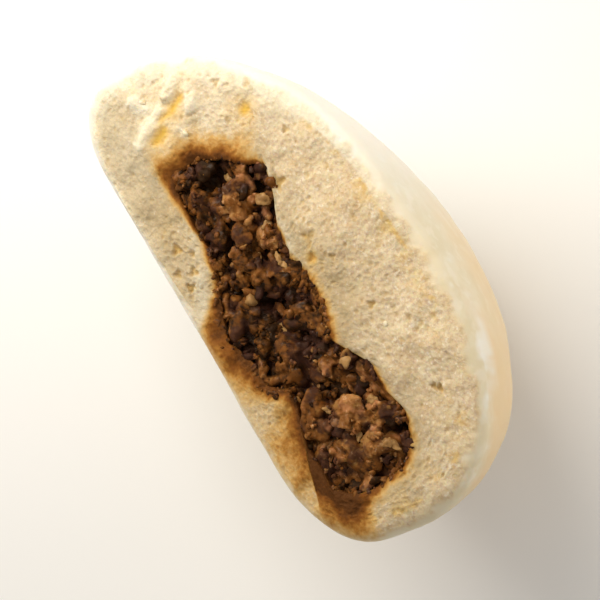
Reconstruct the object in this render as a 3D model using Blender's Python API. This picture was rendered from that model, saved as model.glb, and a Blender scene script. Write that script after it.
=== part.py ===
"""Half of a steamed beef bun, cut through its middle and lying with the cut face up.

The dough is a soft dome with a flat base; one upright cut has taken the near half away.
The minced beef filling is one band along the cut, with its larger clumps standing out.

Lengths here are metres. While it is being shaped, the bun lies like this:
  X runs along the cut, from the blunt end (-) to the steep end (+);
  the bun's own height above its base is -Y, so its top points to -Y;
  Z comes straight out of the cut face.
At the end both bodies are tipped about X by REST_TILT and stood on a small flat spot.
"""
import math
import random

import bmesh
import bpy
import numpy as np
from mathutils import Matrix, Vector, noise

MM = 0.001

# the whole bun
BUN_RADIUS = 56.0 * MM      # half the width at the widest level
BUN_HEIGHT = 54.0 * MM
WIDEST_LEVEL = 15.5 * MM    # height of the widest level above the base
UNDER_DEPTH = 30.0 * MM     # how far the underside's curve would run below that level
DOME_POWER = 2.3            # 2 is a plain ellipsoid, more is boxier
DOME_LEAN = 0.25            # sideways shift toward -X for each unit of height
BASE_ROUND = 12.0 * MM      # softening between the dome and the flat base
SKIN_WAVE = 0.5 * MM        # slow unevenness of the skin
SKIN_WAVE_SIZE = 24.0 * MM

# the cut face
CUT_OFFSET = 0.8 * MM       # the cut lies this far beyond the bun's middle
RIM_ROUND = 4.0 * MM        # softening between the skin and the cut face
CRUMB_WAVE = 0.7 * MM       # slow unevenness of the crumb
CRUMB_WAVE_SIZE = 13.0 * MM
CRUMB_CRAG = 0.45 * MM      # quicker unevenness on top of it
CRUMB_CRAG_SIZE = 5.0 * MM
TEAR_START = (46.5 * MM, 25.5 * MM)     # along the cut, height above the base
TEAR_END = (43.5 * MM, 14.5 * MM)
TEAR_RIDGE = 1.3 * MM       # height of the dough flap beside the tear
TEAR_HOLLOW = 1.8 * MM      # depth of the tear
TEAR_WIDTH = 2.4 * MM

# how the skin's mesh is laid out
BUN_CENTRE = (0.0, -20.0 * MM, -20.0 * MM)
SEGMENTS = 90
RINGS = 32
FACE_SHARE = 0.34           # share of the rings on the cut face
RIM_SHARE = 0.50            # the rings up to this share turn over the rim
PUSH_STEPS = 34
FAR = 95.0 * MM

# the filling: along the cut, height of its middle line, half width
FILLING_STATIONS = (
    (-46.0, 20.0, 10.0),
    (-41.0, 19.9, 12.4),
    (-36.0, 20.9, 11.7),
    (-30.5, 19.8, 10.6),
    (-24.5, 21.6, 9.0),
    (-20.0, 20.3, 7.7),
    (-16.0, 17.3, 8.6),
    (-11.0, 18.2, 9.8),
    (-4.5, 17.3, 11.2),
    (1.6, 17.5, 9.3),
    (8.0, 19.8, 8.3),
    (14.4, 21.8, 9.4),
    (20.7, 22.5, 11.0),
    (25.0, 20.3, 9.2),
    (31.0, 17.5, 6.5),
)
FILLING_MIDDLE = -7.75 * MM
FILLING_HALF_LENGTH = 38.25 * MM
FILLING_DEPTH = 32.0 * MM       # how far it reaches into the bun
FILLING_SINK = 1.8 * MM         # its core lies this far under the cut face
FILLING_SEGMENTS = 32
FILLING_RINGS = 34
END_POWER = 4.0                 # blunt ends in plan
BOTTOM_POWER = 2.3
CAVITY_GAP = 0.45 * MM
CAVITY_ROOF = 9.0 * MM
WALL_POWER = 0.16               # nearly straight walls above the core

# the clumps that show: along the cut, height above the base, length, width (mm)
LARGE_CLUMPS = (
    (-31.4, 21.4, 10.0, 8.5),
    (-28.0, 14.6, 8.5, 7.5),
    (18.9, 22.6, 8.5, 6.5),
    (-36.8, 15.6, 8.0, 7.0),
    (-38.8, 24.0, 8.0, 6.0),
    (-13.8, 15.7, 8.0, 6.5),
    (-19.6, 22.8, 7.5, 5.5),
    (-3.1, 11.8, 7.0, 6.0),
    (-34.3, 27.2, 6.0, 6.0),
    (-36.5, 10.9, 6.5, 5.0),
    (11.8, 20.9, 6.0, 5.2),
    (26.6, 17.2, 5.5, 5.0),
    (-12.4, 22.8, 6.0, 5.0),
    (8.2, 25.3, 5.0, 4.8),
    (7.6, 18.4, 5.2, 4.2),
    (-25.0, 20.0, 5.5, 5.0),
    (-1.0, 24.6, 5.0, 4.4),
    (1.7, 19.0, 5.2, 4.4),
    (-8.1, 17.5, 5.6, 3.0),
    (14.9, 27.6, 4.6, 4.0),
    (0.4, 13.2, 4.4, 4.0),
    (20.6, 30.2, 4.2, 4.0),
    (2.4, 24.0, 4.2, 3.0),
)
SMALL_CLUMPS = 78
SMALL_SIZE = (2.7, 5.0)         # shortest and longest, mm
SMALL_TRIES = 9000
CLUMP_SPACING = 0.36            # share of two clumps' summed widths kept between centres
CLUMP_FLAT = 0.85               # height of a clump over its width
CLUMP_ROUGH = 0.22
CLUMP_TOP = (-1.2, 1.3)         # lowest and highest clump top over the cut face, mm
CLUMP_SHOW = 0.55               # the most of a clump's height that stands out of the core
FINE_CLUMP = 5.0                # clumps this long get more faces, mm
EDGE_GAP = 0.35 * MM

# at rest
REST_TILT = math.radians(15.0)  # the bun's base edge is lifted by this much
FLAT_DEPTH = 2.2 * MM           # depth of the flat spot it rests on

SEED = 4127


def smooth_max(first, second, blend):
    """The larger of two distances, with the corner between them rounded."""
    near = np.maximum(blend - np.abs(first - second), 0.0) / blend
    return np.maximum(first, second) + near * near * blend * 0.25


def skin_field(points):
    """Signed distance-like value of the whole bun: below zero inside it."""
    height = -points[:, 1]
    x = points[:, 0] + DOME_LEAN * (height - WIDEST_LEVEL)
    z = points[:, 2]
    reach = np.where(height > WIDEST_LEVEL, BUN_HEIGHT - WIDEST_LEVEL, UNDER_DEPTH)
    level = np.abs(height - WIDEST_LEVEL) / reach
    across = np.hypot(x, z) / BUN_RADIUS
    ratio = np.maximum((across ** DOME_POWER + level ** DOME_POWER) ** (1.0 / DOME_POWER), 1e-9)
    away = np.sqrt(x * x + z * z + (height - WIDEST_LEVEL) ** 2)
    dome = away - away / ratio
    return smooth_max(dome, -height, BASE_ROUND)


def half_field(points):
    """The same for the half that is left behind the cut."""
    return smooth_max(skin_field(points), points[:, 2] - CUT_OFFSET, RIM_ROUND)


def push_out(directions, centre, field):
    """Where rays from the centre first leave the field's inside."""
    low = np.zeros(len(directions))
    high = np.full(len(directions), FAR)
    for _ in range(PUSH_STEPS):
        middle = 0.5 * (low + high)
        inside = field(centre + directions * middle[:, None]) < 0.0
        low = np.where(inside, middle, low)
        high = np.where(inside, high, middle)
    return centre + directions * (0.5 * (low + high))[:, None]


def wave(x, y, z, size):
    """Smooth noise between about -1 and 1."""
    return noise.noise(Vector((x / size, y / size, z / size)))


def tear_relief(x, height):
    """A short flap of dough with a hollow beside it, on the cut face."""
    along = (TEAR_END[0] - TEAR_START[0], TEAR_END[1] - TEAR_START[1])
    length = math.hypot(along[0], along[1])
    unit = (along[0] / length, along[1] / length)
    offset = (x - TEAR_START[0], height - TEAR_START[1])
    run = (offset[0] * unit[0] + offset[1] * unit[1]) / length
    side = offset[0] * unit[1] - offset[1] * unit[0]
    if not -0.3 < run < 1.3:
        return 0.0
    fade = max(0.0, 1.0 - abs(2.0 * run - 1.0) ** 3 / 1.6 ** 3)
    ridge = TEAR_RIDGE * math.exp(-(side / TEAR_WIDTH) ** 2)
    hollow_side = side - 1.6 * TEAR_WIDTH
    hollow = TEAR_HOLLOW * math.exp(-(hollow_side / TEAR_WIDTH) ** 2)
    return fade * (ridge - hollow)


def crumb_relief(x, y):
    """How far the crumb stands above the cut plane at one place."""
    slow = CRUMB_WAVE * wave(x, y, 0.0, CRUMB_WAVE_SIZE)
    quick = CRUMB_CRAG * wave(x, y, 0.05, CRUMB_CRAG_SIZE)
    return slow + quick + tear_relief(x, -y)


def new_body(name, mesh_data, colour, roughness):
    """One object with one plain material, in the part's own collection."""
    mesh = bpy.data.meshes.new(name)
    mesh_data.to_mesh(mesh)
    mesh_data.free()
    body = bpy.data.objects.new(name, mesh)
    material = bpy.data.materials.new(name)
    material.use_nodes = True
    shader = material.node_tree.nodes["Principled BSDF"]
    shader.inputs["Base Color"].default_value = (*colour, 1.0)
    shader.inputs["Roughness"].default_value = roughness
    shader.inputs["Metallic"].default_value = 0.0
    mesh.materials.append(material)
    return body


def bun_mesh():
    """The half bun as one closed skin, still without room for the filling."""
    mesh_data = bmesh.new()
    bmesh.ops.create_uvsphere(mesh_data, u_segments=SEGMENTS, v_segments=RINGS, radius=1.0)
    unit = np.array([vertex.co[:] for vertex in mesh_data.verts])
    centre = np.array(BUN_CENTRE)
    turn = np.arctan2(unit[:, 1], unit[:, 0])
    share = np.arccos(np.clip(unit[:, 2], -1.0, 1.0)) / math.pi

    # where the skin would meet the cut plane, along each vertex's own meridian
    level = np.array((centre[0], centre[1], CUT_OFFSET))
    flat = np.column_stack((np.cos(turn), np.sin(turn), np.zeros(len(turn))))
    rim = np.linalg.norm(push_out(flat, level, skin_field) - level, axis=1)
    depth = CUT_OFFSET - centre[2]
    face_radius = (rim - RIM_ROUND) * np.minimum(share / FACE_SHARE, 1.0)
    rim_start = np.arctan2(rim - RIM_ROUND, depth)
    rim_end = np.arctan2(rim, depth - RIM_ROUND)
    over = np.clip((share - FACE_SHARE) / (RIM_SHARE - FACE_SHARE), 0.0, 1.0)
    back = np.clip((share - RIM_SHARE) / (1.0 - RIM_SHARE), 0.0, 1.0)
    tilt = np.where(
        share < FACE_SHARE,
        np.arctan2(face_radius, depth),
        rim_start + (rim_end - rim_start) * over + (math.pi - rim_end) * back,
    )
    directions = np.column_stack(
        (np.sin(tilt) * np.cos(turn), np.sin(tilt) * np.sin(turn), np.cos(tilt))
    )
    points = push_out(directions, centre, half_field)

    on_face = np.clip((RIM_SHARE - share) / (RIM_SHARE - FACE_SHARE), 0.0, 1.0)
    for vertex, point, way, face in zip(mesh_data.verts, points, directions, on_face):
        x, y, z = point
        lift = face * crumb_relief(x, y)
        swell = (1.0 - face) * SKIN_WAVE * wave(x, y, z, SKIN_WAVE_SIZE)
        vertex.co = (x + way[0] * swell, y + way[1] * swell, z + way[2] * swell + lift)
    return mesh_data


def filling_line(x):
    """Height of the filling's middle line and its half width at one place."""
    table = np.array(FILLING_STATIONS) * MM
    middle = np.interp(x, table[:, 0], table[:, 1])
    width = np.interp(x, table[:, 0], table[:, 2])
    return middle, width


def end_taper(share, power):
    """Width left at a share of the half length, falling to nothing at the end."""
    return max(0.0, 1.0 - abs(share) ** power) ** (1.0 / power)


def filling_mesh(grow, roof, wall_power):
    """The filling's body, or with a grow and a roof the room that it needs."""
    mesh_data = bmesh.new()
    bmesh.ops.create_uvsphere(
        mesh_data, u_segments=FILLING_SEGMENTS, v_segments=FILLING_RINGS, radius=1.0
    )
    top = CUT_OFFSET - FILLING_SINK
    for vertex in mesh_data.verts:
        # the sphere's poles become the filling's two ends
        share, side, up = vertex.co.z, vertex.co.x, vertex.co.y
        around = math.hypot(side, up)
        side = side / around if around > 1e-6 else 0.0
        up = up / around if around > 1e-6 else 0.0
        x = FILLING_MIDDLE + (FILLING_HALF_LENGTH + grow) * share
        middle, width = filling_line(x)
        width = (width + grow) * end_taper(share, END_POWER)
        deep = (FILLING_DEPTH + grow) * end_taper(share, BOTTOM_POWER)
        if up < 0.0:
            z = top - deep * abs(up) ** (2.0 / BOTTOM_POWER)
            across = abs(side) ** (2.0 / BOTTOM_POWER)
        else:
            z = top + roof * up ** wall_power
            across = abs(side) ** wall_power
        vertex.co = (x, -middle - math.copysign(width * across, side), z)
    bmesh.ops.recalc_face_normals(mesh_data, faces=mesh_data.faces)
    return mesh_data


def outline_points():
    """The filling's outline on the cut face, as X and Y."""
    count = 160
    upper = []
    lower = []
    for i in range(count + 1):
        share = math.cos(math.pi * i / count)
        x = FILLING_MIDDLE + FILLING_HALF_LENGTH * share
        middle, width = filling_line(x)
        width *= end_taper(share, END_POWER)
        upper.append((x, -middle - width))
        lower.append((x, -middle + width))
    return np.array(upper + lower[::-1])


def room_at(x, y, outline):
    """Distance from a place inside the filling's outline to that outline."""
    middle, width = filling_line(x)
    share = (x - FILLING_MIDDLE) / FILLING_HALF_LENGTH
    if abs(y + middle) > width * end_taper(share, END_POWER):
        return -1.0
    return float(np.hypot(outline[:, 0] - x, outline[:, 1] - y).min())


def clump_mesh(length, width, spin, top, spot):
    """One uneven clump of mince, its top at the given height."""
    mesh_data = bmesh.new()
    levels = 2 if length > FINE_CLUMP * MM else 1
    bmesh.ops.create_icosphere(mesh_data, subdivisions=levels, radius=1.0)
    height = CLUMP_FLAT * width
    offset = Vector((spot.random(), spot.random(), spot.random())) * 50.0
    for vertex in mesh_data.verts:
        bulge = 1.0 + CLUMP_ROUGH * (noise.noise(vertex.co * 1.3 + offset) - 0.25)
        x = 0.5 * length * vertex.co.x * bulge
        y = 0.5 * width * vertex.co.y * bulge
        z = 0.5 * height * (vertex.co.z * bulge - 1.0)
        vertex.co = (x * math.cos(spin) - y * math.sin(spin), x * math.sin(spin) + y * math.cos(spin), z)
    bmesh.ops.translate(mesh_data, verts=mesh_data.verts, vec=(0.0, 0.0, top))
    return mesh_data


def place_clumps():
    """Pick every clump's place and size: the large ones first, then the small ones."""
    chance = random.Random(SEED)
    outline = outline_points()
    placed = []

    def add(x, y, length, width):
        room = room_at(x, y, outline) - EDGE_GAP
        length = min(length, 2.0 * room / (1.0 + 0.5 * CLUMP_ROUGH))
        width = min(width, length)
        if length < SMALL_SIZE[0] * MM:
            return False
        highest = CLUMP_SHOW * CLUMP_FLAT * width - FILLING_SINK
        top = CUT_OFFSET + min(chance.uniform(*CLUMP_TOP) * MM, highest)
        placed.append((x, y, length, width, chance.uniform(0.0, math.pi), top))
        return True

    for x, height, length, width in LARGE_CLUMPS:
        add(x * MM, -height * MM, length * MM, width * MM)
    small = 0
    for _ in range(SMALL_TRIES):
        if small == SMALL_CLUMPS:
            break
        x = FILLING_MIDDLE + FILLING_HALF_LENGTH * chance.uniform(-1.0, 1.0)
        middle, reach = filling_line(x)
        y = -middle + reach * chance.uniform(-1.0, 1.0)
        length = chance.uniform(*SMALL_SIZE) * MM
        width = length * chance.uniform(0.65, 1.0)
        clear = all(
            math.hypot(x - other[0], y - other[1]) > CLUMP_SPACING * (width + other[3])
            for other in placed
        )
        if clear and add(x, y, length, width):
            small += 1
    return placed


def main():
    for old in list(bpy.data.objects):
        bpy.data.objects.remove(old)
    scene = bpy.context.scene
    part = bpy.data.collections.new("steamed_beef_bun_half")
    tools = bpy.data.collections.new("cutters")
    clumps = bpy.data.collections.new("clumps")
    for group in (part, tools, clumps):
        scene.collection.children.link(group)

    dough = new_body("bun_dough", bun_mesh(), (0.86, 0.76, 0.56), 0.62)
    part.objects.link(dough)
    filling = new_body("beef_filling", filling_mesh(0.0, 0.3 * MM, 1.0), (0.16, 0.08, 0.045), 0.38)
    part.objects.link(filling)

    room = new_body("cavity", filling_mesh(CAVITY_GAP, CAVITY_ROOF, WALL_POWER), (0.5, 0.5, 0.5), 0.5)
    tools.objects.link(room)
    room.hide_render = True
    room.display_type = "WIRE"

    spot = random.Random(SEED + 1)
    for index, (x, y, length, width, spin, top) in enumerate(place_clumps()):
        clump = new_body(f"clump_{index:02d}", clump_mesh(length, width, spin, top, spot), (0.2, 0.1, 0.06), 0.4)
        clump.data.transform(Matrix.Translation((x, y, 0.0)))
        clumps.objects.link(clump)

    cut = dough.modifiers.new("room_for_filling", "BOOLEAN")
    cut.operation = "DIFFERENCE"
    cut.object = room
    cut.solver = "EXACT"
    join = filling.modifiers.new("clumps", "BOOLEAN")
    join.operation = "UNION"
    join.operand_type = "COLLECTION"
    join.collection = clumps
    join.solver = "MANIFOLD"
    bpy.context.view_layer.update()
    for body in (dough, filling):
        with bpy.context.temp_override(object=body, active_object=body):
            bpy.ops.object.modifier_apply(modifier=body.modifiers[0].name)
    for clump in list(clumps.objects):
        bpy.data.objects.remove(clump)
    bpy.data.collections.remove(clumps)

    settle((dough, filling))


def settle(bodies):
    """Tip both bodies to rest, cut the flat spot and centre them over the origin."""
    for body in bodies:
        body.data.transform(Matrix.Rotation(-REST_TILT, 4, "X"))
    floor = min(vertex.co.z for vertex in bodies[0].data.vertices) + FLAT_DEPTH

    mesh_data = bmesh.new()
    mesh_data.from_mesh(bodies[0].data)
    geometry = mesh_data.verts[:] + mesh_data.edges[:] + mesh_data.faces[:]
    found = bmesh.ops.bisect_plane(
        mesh_data, geom=geometry, dist=1e-7, plane_co=(0.0, 0.0, floor), plane_no=(0.0, 0.0, 1.0), clear_inner=True
    )
    edges = [item for item in found["geom_cut"] if isinstance(item, bmesh.types.BMEdge)]
    bmesh.ops.contextual_create(mesh_data, geom=edges)
    bmesh.ops.recalc_face_normals(mesh_data, faces=mesh_data.faces)
    mesh_data.to_mesh(bodies[0].data)
    mesh_data.free()

    corners = np.array([vertex.co[:] for body in bodies for vertex in body.data.vertices])
    low, high = corners.min(axis=0), corners.max(axis=0)
    middle = 0.5 * (low + high)
    for body in bodies:
        body.data.transform(Matrix.Translation((-middle[0], -middle[1], -floor)))
        body.data.update()


main()
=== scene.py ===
"""Half of a steamed beef bun: dough, beef filling, loose crumbs and the stage.

Run as a script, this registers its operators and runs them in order.

Shapes are worked out lying flat, in millimetres:
  X runs along the cut, Y points to the bun's flat base, Z comes straight out of the cut face.
lay_down() then tips them to the resting pose and turns them to metres.
"""
import math

import bmesh
import bpy
import numpy as np
from bpy.props import FloatProperty, FloatVectorProperty, IntProperty, PointerProperty
from mathutils import Matrix, Vector, kdtree


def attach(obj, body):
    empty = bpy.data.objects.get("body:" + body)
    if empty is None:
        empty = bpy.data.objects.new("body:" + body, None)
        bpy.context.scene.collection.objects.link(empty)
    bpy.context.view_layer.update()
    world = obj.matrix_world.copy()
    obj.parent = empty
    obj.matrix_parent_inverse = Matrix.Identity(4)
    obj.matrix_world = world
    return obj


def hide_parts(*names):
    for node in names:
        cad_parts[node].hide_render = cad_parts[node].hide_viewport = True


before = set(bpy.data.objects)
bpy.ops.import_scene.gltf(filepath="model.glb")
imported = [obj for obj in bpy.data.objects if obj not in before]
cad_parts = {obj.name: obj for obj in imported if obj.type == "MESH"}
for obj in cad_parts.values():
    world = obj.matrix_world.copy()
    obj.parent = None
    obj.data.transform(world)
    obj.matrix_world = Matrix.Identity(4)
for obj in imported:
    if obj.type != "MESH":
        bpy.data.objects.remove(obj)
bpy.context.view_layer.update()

bl_info = {
    "name": "Steamed beef bun",
    "version": (1, 0, 0),
    "blender": (4, 5, 0),
    "location": "View3D > Sidebar > Bun",
    "description": "Builds half of a steamed beef bun with its filling and a plain stage",
    "category": "Object",
}

# the bun's own form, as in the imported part
BUN_CENTRE = np.array((-7.0, -18.5, -20.0))
PUSH_STEPS = 34                    # halvings when a ray looks for a surface
FAR = 95.0                         # farther than any part of the bun
# height and size of the slow and the finer unevenness of the cut face, and of the skin's
CRUMB_WAVE = (0.7, 13.0)
CRUMB_CRAG = (0.45, 5.0)
SKIN_WAVE = (0.5, 24.0)
# the torn flap's ridges and the yellow hollows beside them: along the cut, height above the base
TEAR_RIDGES = (
    ((47.3, 25.8), (45.4, 23.4), (43.9, 20.5), (42.9, 17.6), (41.9, 14.7), (40.3, 12.1)),
    ((43.4, 27.2), (41.8, 26.9), (40.0, 26.1)),
    ((48.2, 15.6), (46.4, 16.2), (45.0, 17.6)),
)
TEAR_HOLLOWS = (
    ((43.0, 25.0), (42.3, 22.8), (41.8, 20.6), (42.1, 18.6)),
    ((33.0, 35.7), (32.7, 35.4)),
    ((39.4, 18.0), (38.5, 15.4)),
)
FILLING_MIDDLE = -7.75
FILLING_HALF_LENGTH = 38.25
FILLING_DEPTH = 32.0
END_POWER = 4.0                    # how blunt its ends are, 2 being an ellipse
BOTTOM_POWER = 2.3
# the filling: along the cut, height of its middle line, half width
FILLING_STATIONS = np.array((
    (-46.0, 20.0, 10.0),
    (-41.0, 19.9, 12.4),
    (-36.0, 20.9, 11.7),
    (-30.5, 19.8, 10.6),
    (-24.5, 21.6, 9.0),
    (-20.0, 20.3, 7.7),
    (-16.0, 17.3, 8.6),
    (-11.0, 18.2, 9.8),
    (-4.5, 17.3, 11.2),
    (1.6, 17.5, 9.3),
    (8.0, 19.8, 8.3),
    (14.4, 21.8, 9.4),
    (20.7, 22.5, 11.0),
    (25.0, 20.3, 9.2),
    (31.0, 17.5, 6.5),
))
# the middle of the small white flap, and its half length and half width
FLAP = (36.6, 21.8, 1.9, 1.2)
# the juice stain between the filling and the base: along the cut, how wide it fades
BASE_SOAK = (
    (-48.0, 4.8), (-30.0, 4.3), (-24.0, 3.0), (-20.5, 1.3), (-17.0, 2.0), (-13.0, 3.8),
    (-5.0, 6.4), (2.0, 3.0), (6.0, 1.1), (12.0, 1.2), (20.0, 1.7), (28.0, 4.4),
)
# and how far from the filling it stays dark
BASE_BAND = (
    (-50.0, 0.0), (-44.0, 2.0), (-38.0, 5.4), (-32.0, 5.4),
    (-28.5, 3.6), (-25.5, 1.6), (-21.0, 0.0),
)
# round spots of colour: along the cut, height above the base, spread, strength
ORANGE_SPOTS = ((-0.6, 31.7, 1.8, 0.7), (-4.6, 48.6, 1.6, 0.5))
JUICE_SPOTS = ((-0.6, 31.7, 1.6, 0.5), (2.4, 9.0, 5.0, 0.5))
# small pits in the crumb: along the cut, height above the base, radius, depth
CRUMB_PITS = (
    (17.8, 6.6, 1.3, 0.8),
    (11.9, 7.5, 1.2, 0.7),
    (13.6, 3.9, 1.0, 0.6),
    (9.6, 5.0, 1.1, 0.7),
    (15.2, 9.2, 0.8, 0.5),
    (3.2, 33.4, 1.7, 0.5),
    (-0.6, 31.7, 1.0, 0.6),
    (-3.2, 36.0, 0.8, 0.5),
    (16.2, 33.8, 1.5, 0.8),
    (-36.9, 40.7, 0.9, 1.0),
    (-36.0, 39.9, 0.7, 0.8),
    (-15.5, 37.6, 0.9, 0.7),
    (-21.9, 43.2, 0.7, 0.4),
    (24.0, 41.0, 0.9, 0.5),
    (40.8, 33.4, 1.0, 0.5),
    (36.8, 39.2, 1.1, 0.4),
)
# hollows in the filling, painted darker as shade: along the cut, height above the base, radius,
# depth
FILLING_HOLLOWS = (
    (21.5, 29.5, 5.0, 3.4),
    (24.0, 22.0, 3.4, 2.2),
    (-3.8, 19.5, 4.2, 2.6),
    (-12.5, 22.5, 4.0, 2.2),
    (-25.4, 18.6, 3.4, 2.4),
    (-38.0, 29.0, 3.2, 2.0),
    (-20.0, 17.0, 3.0, 1.8),
    (5.5, 22.5, 2.4, 1.6),
)
# clumps: along the cut, height above the base, length, width, tone, top; the tone is partly
# painted light, paler on well-lit clumps
LARGE_CLUMPS = (
    (-31.4, 21.4, 10.5, 9.0, 0.80, 2.1),
    (-27.6, 14.4, 9.0, 8.0, 0.50, 1.3),
    (18.9, 22.6, 8.8, 6.8, 0.72, 1.4),
    (-36.8, 15.6, 8.4, 7.4, 0.55, 1.2),
    (-39.0, 23.6, 8.4, 6.4, 0.72, 1.0),
    (-13.8, 15.7, 8.2, 6.6, 0.38, 0.9),
    (-19.6, 23.2, 8.0, 5.6, 0.58, 1.5),
    (-3.1, 11.6, 7.6, 6.4, 0.22, 0.7),
    (-34.5, 27.6, 6.4, 6.0, 0.40, 0.7),
    (-36.3, 10.8, 7.0, 5.4, 0.45, 0.5),
    (11.8, 20.9, 6.4, 5.6, 0.72, 1.0),
    (27.0, 16.9, 6.4, 5.4, 0.42, 0.3),
    (-12.2, 23.6, 6.4, 5.2, 0.20, -0.4),
    (8.2, 25.4, 5.4, 5.0, 0.45, 0.4),
    (7.6, 18.2, 5.4, 4.6, 0.60, 0.6),
    (-25.0, 20.6, 5.6, 5.2, 0.24, -0.2),
    (-1.0, 25.2, 5.6, 4.8, 0.62, 0.9),
    (1.7, 19.0, 5.4, 4.6, 0.50, 0.5),
    (14.9, 28.2, 4.8, 4.2, 0.50, 0.5),
    (0.6, 12.9, 4.8, 4.4, 0.60, 0.5),
    (20.6, 31.0, 4.4, 4.2, 0.25, -1.0),
    (2.6, 24.4, 4.6, 3.8, 0.58, 0.6),
    (-42.0, 18.6, 6.2, 5.6, 0.40, 0.4),
    (-8.4, 13.0, 5.6, 4.8, 0.34, 0.3),
    (-8.6, 22.6, 5.4, 4.6, 0.30, 0.0),
    (23.4, 17.2, 5.2, 4.6, 0.36, -0.2),
    (-21.8, 27.2, 4.6, 3.8, 0.66, 1.1),
    (4.6, 14.6, 4.6, 4.2, 0.38, 0.2),
    (14.2, 17.0, 4.8, 4.2, 0.30, 0.1),
    (-17.4, 12.6, 4.8, 4.0, 0.36, 0.4),
)
# onion slivers: along the cut, height, length, width, spin, paleness
ONION_BITS = (
    (-8.1, 17.4, 5.6, 2.2, 0.4, 0.45),
    (14.9, 29.0, 3.2, 2.4, 1.3, 0.40),
    (24.4, 23.4, 2.6, 1.9, 0.2, 0.95),
    (2.7, 25.6, 4.2, 1.6, 0.1, 0.75),
    (-21.9, 26.8, 3.4, 1.8, 0.7, 0.55),
    (0.4, 14.6, 3.4, 2.6, 0.9, 0.30),
    (11.0, 26.2, 2.6, 2.0, 2.0, 0.35),
    (-40.6, 25.6, 4.0, 2.0, 0.5, 0.30),
    (-31.0, 26.8, 2.8, 1.6, 1.7, 0.45),
    (-35.6, 20.4, 2.4, 1.8, 2.2, 0.60),
    (6.4, 21.0, 2.2, 1.6, 2.6, 0.50),
    (-27.8, 17.6, 2.2, 1.6, 0.3, 0.55),
)
# loose shreds of dough: along the cut, height, length, width, spin
DOUGH_SHREDS = (
    (36.9, 21.5, 2.6, 2.2, 0.50),
    (45.2, 22.8, 3.2, 1.7, 1.85),
    (47.0, 17.2, 2.8, 1.5, 0.30),
    (-20.4, 38.0, 1.3, 1.0, 1.50),
)

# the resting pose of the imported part
REST_TILT = math.radians(15.0)
REST_SHIFT = Vector((0.00022352, 0.02821318, 0.04879239))

# the camera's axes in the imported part's frame, and the place it looks at when lying flat
CAMERA_RIGHT = Vector((-0.49797, -0.82868, -0.25558))
CAMERA_UP = Vector((0.83771, -0.53587, 0.10528))
CAMERA_BACK = Vector((-0.22420, -0.16167, 0.96105))
LOOK_AT = (0.0, -22.0, -20.0)


# ---------------------------------------------------------------- sizes and colours


def measure(name, description, default, **limits):
    """A size or strength that a user can change."""
    return FloatProperty(name=name, description=description, default=default, **limits)


def tint(name, description, colour):
    """A colour that a user can change."""
    return FloatVectorProperty(
        name=name, description=description, subtype="COLOR", size=4, default=(*colour, 1.0)
    )


class DoughSettings(bpy.types.PropertyGroup):
    """Sizes and colours of the steamed dough."""

    radius: measure("Radius", "Half the bun's width, mm", 56.0, min=30.0)
    height: measure("Height", "Height of the bun, mm", 54.0)
    widest_level: measure("Widest level", "Height of the widest level, mm", 15.5)
    under_depth: measure("Underside", "How far the underside's curve would run, mm", 30.0)
    dome_power: measure("Fullness", "2 is an ellipsoid, more is boxier", 2.3)
    lean: measure("Lean", "Sideways shift of the dome for each mm of height", 0.25)
    base_round: measure("Base rounding", "Softening above the flat base, mm", 12.0)
    cut_offset: measure("Cut", "Place of the cut beyond the bun's middle, mm", 0.8)
    rim_round: measure("Rim rounding", "Softening between skin and cut face, mm", 4.0)
    segments: IntProperty(
        name="Segments", description="Columns of faces around the cut", default=690, min=64
    )
    pore_depth: measure("Pore depth", "Depth of the crumb's fine pores, mm", 0.27)
    crumb_light: tint("Crumb, light", "Lighter crumb", (0.80, 0.672, 0.462))
    crumb_tan: tint("Crumb, tan", "Deeper crumb", (0.61, 0.425, 0.225))
    # darker, greyer crumb around the filling and along the base side: damp dough together with
    # painted shade of the recessed filling
    crumb_shade_and_damp: tint("Crumb, dim", "Damp crumb around the filling", (0.45, 0.34, 0.185))
    # pale dough beside the filling; the same colour paints light on the crumb toward the upper end
    pale_crumb_and_light: tint(
        "Steamed white", "Dense pale dough next to the filling", (0.86, 0.79, 0.61)
    )
    skin: tint("Skin", "Smooth outer skin", (0.775, 0.68, 0.49))
    skin_deep: tint("Skin, moist", "Moist, slightly clear patches of skin", (0.71, 0.60, 0.38))
    amber: tint("Amber", "Yellow dough in tears and on the far skin", (0.80, 0.57, 0.31))
    juice: tint("Juice", "Juice soaked into the dough", (0.40, 0.168, 0.022))
    juice_dark: tint(
        "Juice, dark", "Dough soaked through at the filling's edge", (0.085, 0.028, 0.006)
    )


class FillingSettings(bpy.types.PropertyGroup):
    """Sizes and colours of the minced beef."""

    sink: measure("Sink", "How far the filling lies under the cut face, mm", 1.8)
    medium_count: IntProperty(
        name="Medium clumps", description="Scattered clumps", default=190, min=0
    )
    medium_size: FloatVectorProperty(
        name="Medium size", description="Shortest and longest medium clump, mm", size=2,
        default=(2.8, 6.2),
    )
    grain_count: IntProperty(name="Grains", description="Small grains", default=190, min=0)
    grain_size: FloatVectorProperty(
        name="Grain size", description="Smallest and largest grain, mm", size=2,
        default=(0.9, 1.9),
    )
    # dark mince; it is also the colour of the painted shade in hollows and creases
    dark_and_shade: tint("Dark", "Mince in the hollows", (0.020, 0.0075, 0.002))
    brown: tint("Brown", "Cooked mince", (0.175, 0.060, 0.010))
    tan: tint("Tan", "Palest mince", (0.43, 0.195, 0.060))
    onion: tint("Onion", "Clear onion pieces", (0.42, 0.235, 0.085))
    seed: IntProperty(name="Seed", description="Seed of the scattered pieces", default=4127)


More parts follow.
